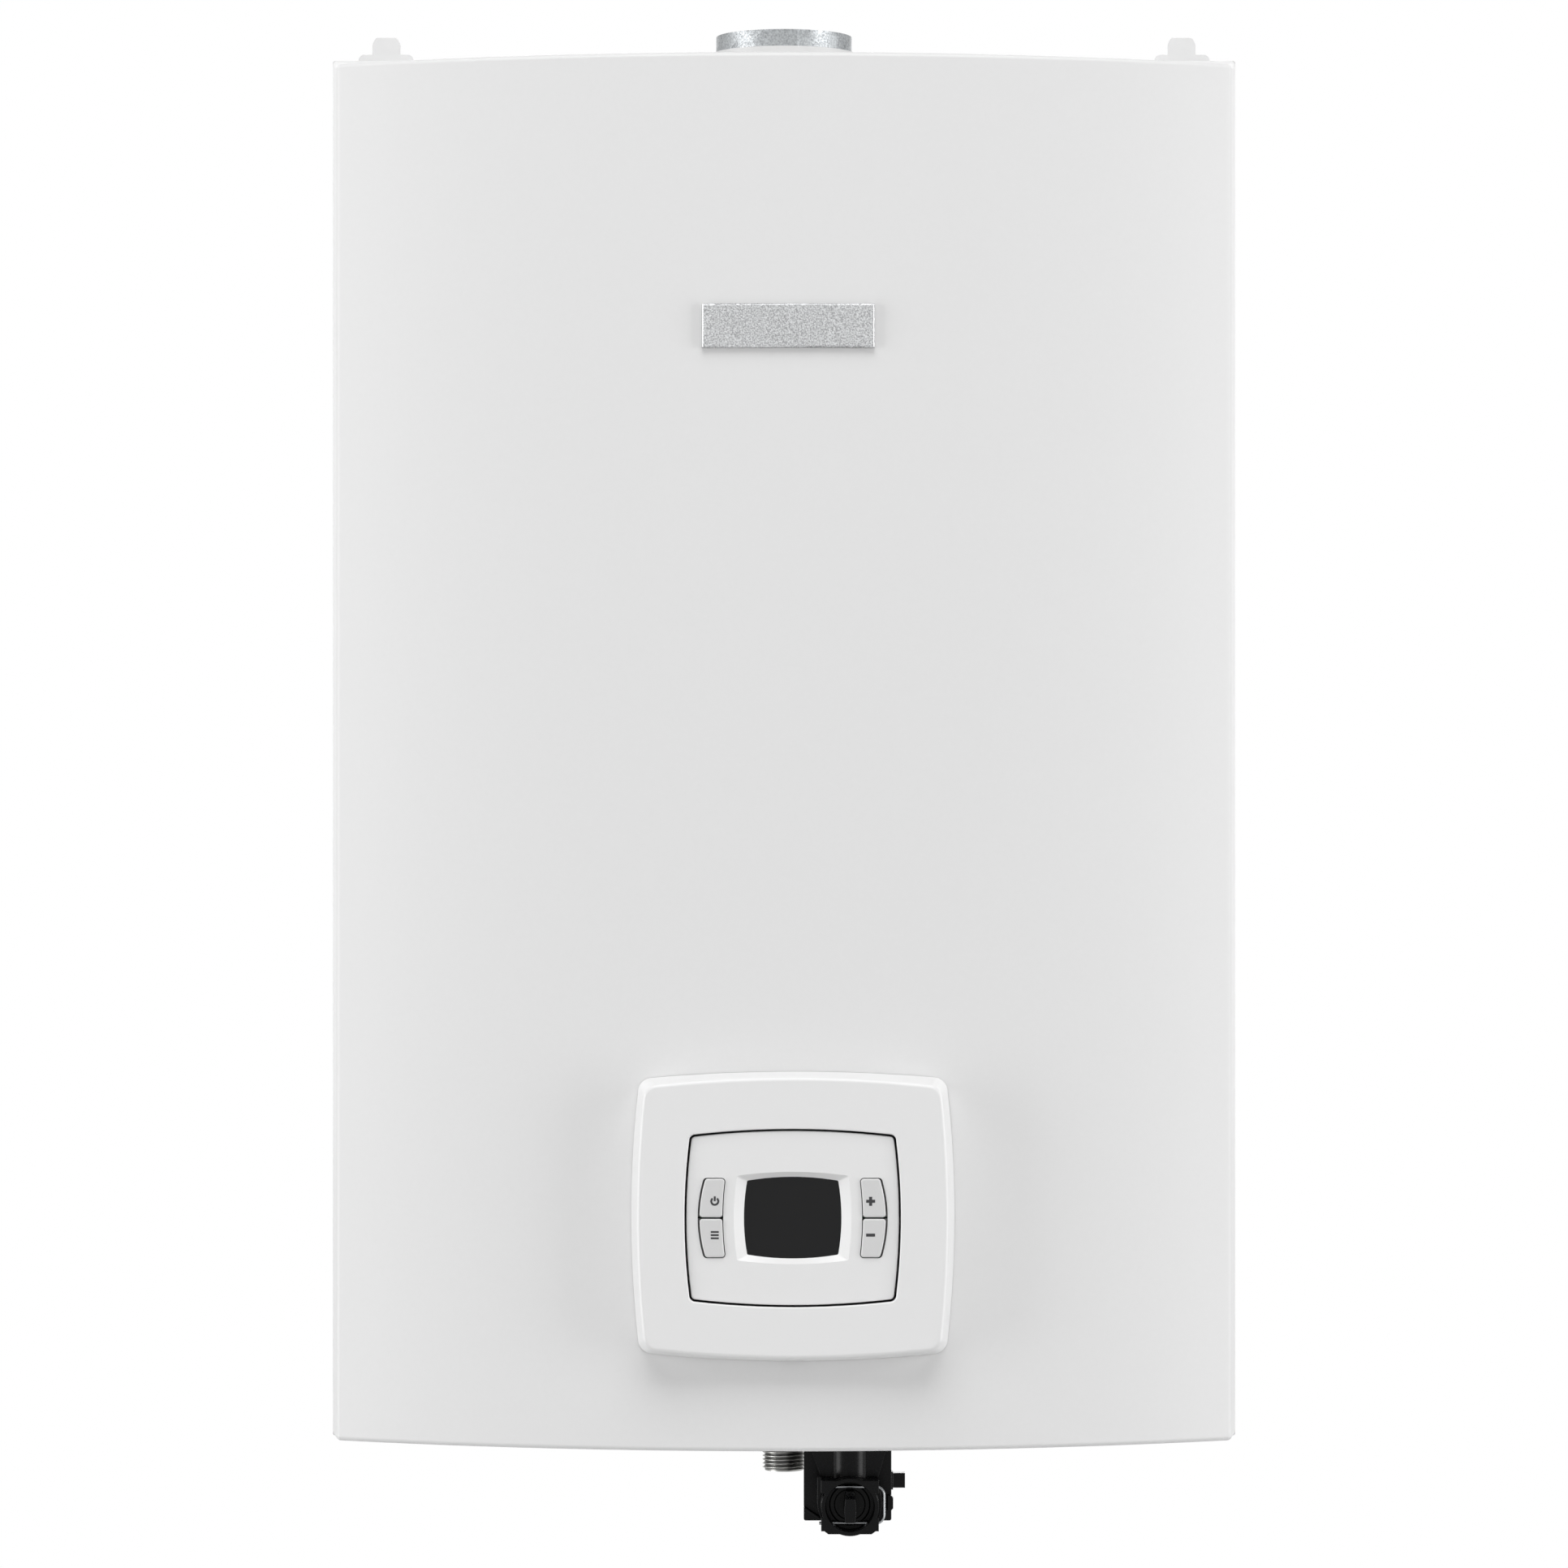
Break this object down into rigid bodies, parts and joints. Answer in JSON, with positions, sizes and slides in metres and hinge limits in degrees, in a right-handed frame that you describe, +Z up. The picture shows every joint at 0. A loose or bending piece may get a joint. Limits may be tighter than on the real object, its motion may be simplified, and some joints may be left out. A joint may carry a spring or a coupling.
{
  "type": "gas water heater",
  "caption": "Wall-hung gas water heater with a bowed white front cover, push-button control panel, round flue socket on top and gas and water connections underneath.",
  "frame": {"origin": "midway between the two hanging holes, on the wall plane", "axes": "+X to the right seen from the front, +Y into the wall, +Z up"},
  "size_m": [0.428, 0.219, 0.732],
  "materials": {
    "white_enamel": "semi-gloss powder coat",
    "galvanised_steel": "zinc coated, dull",
    "aluminised_steel": "dull sheet",
    "copper": "bare copper",
    "brass": "bright brass",
    "nickel_plated_brass": "bright nickel plate",
    "spring_steel": "bright wire",
    "die_cast_aluminium": "as cast",
    "badge_aluminium": "blasted with a bright bevel",
    "white_plastic": "fine satin",
    "grey_plastic": "fine satin",
    "black_plastic": "satin, glass filled",
    "display_black": "gloss",
    "circuit_board": "solder mask",
    "ceramic": "glazed",
    "glass": "clear",
    "seal_rubber": "matt",
    "motor_black": "matt lacquer"
  },
  "bodies": {
    "chassis": {"back_panel": "white_enamel", "hanger_plates": "white_enamel", "side_panel_left": "white_enamel", "side_panel_right": "white_enamel", "top_panel": "white_enamel", "bottom_panel": "white_enamel", "control_fascia": "white_plastic", "display_lens": "display_black", "lcd_panel": "display_black", "control_board": "circuit_board", "button_switches": "black_plastic", "control_box": "black_plastic", "control_bracket": "galvanised_steel", "burner_frame": "aluminised_steel", "burner_blades": "aluminised_steel", "combustion_chamber": "aluminised_steel", "electrodes": "ceramic", "electrode_bracket": "galvanised_steel", "sight_glass": "glass", "exchanger_shell": "copper", "exchanger_fins": "copper", "exchanger_tube": "copper", "flue_hood": "aluminised_steel", "fan_housing": "galvanised_steel", "fan_motor": "motor_black", "flue_elbow": "galvanised_steel", "flue_socket": "galvanised_steel", "gas_inlet": "nickel_plated_brass", "gas_lock_nut": "brass", "gas_valve": "die_cast_aluminium", "gas_solenoids": "motor_black", "gas_manifold": "die_cast_aluminium", "cold_pipe": "copper", "hot_pipe": "copper", "hot_outlet": "nickel_plated_brass", "cold_inlet": "nickel_plated_brass", "water_inlet_body": "black_plastic", "flow_sensor_body": "black_plastic", "limit_thermostat": "black_plastic", "hot_sensor": "brass", "ignition_unit": "grey_plastic", "pressure_switch": "grey_plastic", "stack_brackets": "galvanised_steel", "cable_gland": "black_plastic"},
    "cover_unit": {"front_cover": "white_enamel", "badge_plate": "badge_aluminium", "cover_screws": "spring_steel"},
    "bezel_trim": {"bezel": "white_plastic"},
    "power_key": {"power_button": "grey_plastic"},
    "menu_key": {"menu_button": "grey_plastic"},
    "plus_key": {"plus_button": "grey_plastic"},
    "minus_key": {"minus_button": "grey_plastic"},
    "fan_rotor": {"fan_wheel": "galvanised_steel"},
    "flow_rotor": {"flow_turbine": "white_plastic"},
    "plug_unit": {"filter_plug": "black_plastic", "plug_seal": "seal_rubber", "filter_screen": "spring_steel"},
    "clip": {"retaining_clip": "spring_steel"}
  },
  "joints": [
    {"name": "cover_pull", "type": "slide", "parent": "chassis", "child": "cover_unit", "axis": [0, -1, 0], "range_m": [0, 0.3]},
    {"name": "bezel_pull", "type": "slide", "parent": "cover_unit", "child": "bezel_trim", "axis": [0, -1, 0], "range_m": [0, 0.04]},
    {"name": "power_press", "type": "slide", "parent": "chassis", "child": "power_key", "axis": [0, 1, 0], "range_m": [0, 0.0008], "stiffness_N_per_m": 1500, "springref_m": -0.0004},
    {"name": "menu_press", "type": "slide", "parent": "chassis", "child": "menu_key", "axis": [0, 1, 0], "range_m": [0, 0.0008], "stiffness_N_per_m": 1500, "springref_m": -0.0004},
    {"name": "plus_press", "type": "slide", "parent": "chassis", "child": "plus_key", "axis": [0, 1, 0], "range_m": [0, 0.0008], "stiffness_N_per_m": 1500, "springref_m": -0.0004},
    {"name": "minus_press", "type": "slide", "parent": "chassis", "child": "minus_key", "axis": [0, 1, 0], "range_m": [0, 0.0008], "stiffness_N_per_m": 1500, "springref_m": -0.0004},
    {"name": "fan_spin", "type": "hinge", "parent": "chassis", "child": "fan_rotor", "pos_m": [-0.084, -0.066, -0.16], "axis": [0, 0, 1], "continuous": true},
    {"name": "turbine_spin", "type": "hinge", "parent": "chassis", "child": "flow_rotor", "pos_m": [0.0314, -0.114, -0.625], "axis": [0, 0, 1], "continuous": true},
    {"name": "plug_turn", "type": "hinge", "parent": "chassis", "child": "plug_unit", "pos_m": [0.0314, -0.134, -0.6951], "axis": [0, 1, 0], "continuous": true},
    {"name": "clip_slide", "type": "slide", "parent": "chassis", "child": "clip", "axis": [1, 0, 0], "range_m": [0, 0.034]}
  ]
}
